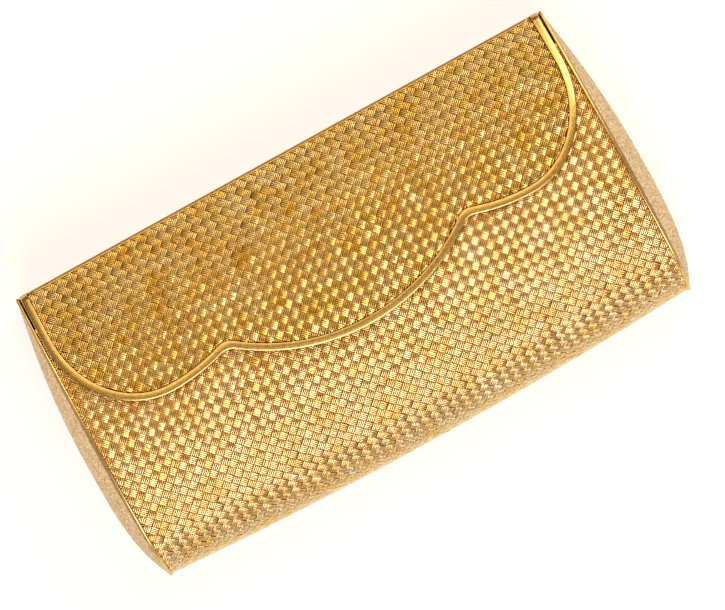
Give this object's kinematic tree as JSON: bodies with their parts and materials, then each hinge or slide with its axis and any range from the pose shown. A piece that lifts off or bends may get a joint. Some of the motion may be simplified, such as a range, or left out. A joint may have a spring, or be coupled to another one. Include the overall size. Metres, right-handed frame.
{
  "type": "minaudiere",
  "caption": "Rigid gold evening clutch with a basketweave skin, domed ends and a hinged scalloped flap closed by a hidden snap catch.",
  "frame": {"origin": "middle of the flat back, on the surface that the case lies on", "axes": "+X along the length, +Y from the bottom to the hinge, +Z out of the front"},
  "size_m": [0.1718, 0.088, 0.0345],
  "materials": {
    "gold_weave": "woven wire, soft polish",
    "gold_satin": "satin with polished bevels",
    "gold_stipple": "fine stippled matt",
    "gold_sheet": "polished sheet",
    "steel": "ground",
    "lining_suede": "suede nap",
    "mirror": "silvered glass"
  },
  "bodies": {
    "case": {"front_weave": "gold_weave", "back_weave": "gold_weave", "end_plate_left": "gold_satin", "end_plate_right": "gold_satin", "mouth_lip": "gold_satin", "end_panel_left": "gold_stipple", "end_panel_right": "gold_stipple", "front_shell": "gold_sheet", "back_shell": "gold_sheet", "hinge_case_knuckles": "gold_sheet", "catch_box": "gold_sheet", "catch_cover": "gold_sheet", "hinge_pin": "steel", "catch_screws": "steel", "catch_spring": "steel", "lining": "lining_suede", "divider": "lining_suede"},
    "flap": {"flap_rim": "gold_satin", "flap_shell": "gold_sheet", "flap_weave": "gold_weave", "flap_top_weave": "gold_weave", "flap_edge_bead": "gold_satin", "mirror_glass": "mirror", "mirror_bezel": "gold_sheet", "hinge_flap_knuckles": "gold_sheet", "catch_tongue": "gold_sheet"},
    "bolt": {"catch_bolt": "steel"}
  },
  "joints": [
    {"name": "flap_hinge", "type": "hinge", "parent": "case", "child": "flap", "pos_m": [0, 0.0424, 0.0016], "axis": [-1, 0, 0], "range_deg": [0, 90]},
    {"name": "catch_slide", "type": "slide", "parent": "case", "child": "bolt", "axis": [-1, 0, 0], "range_m": [0, 0.0009], "stiffness_N_per_m": 600, "springref_m": -0.001, "deforming": ["catch_spring"]}
  ]
}
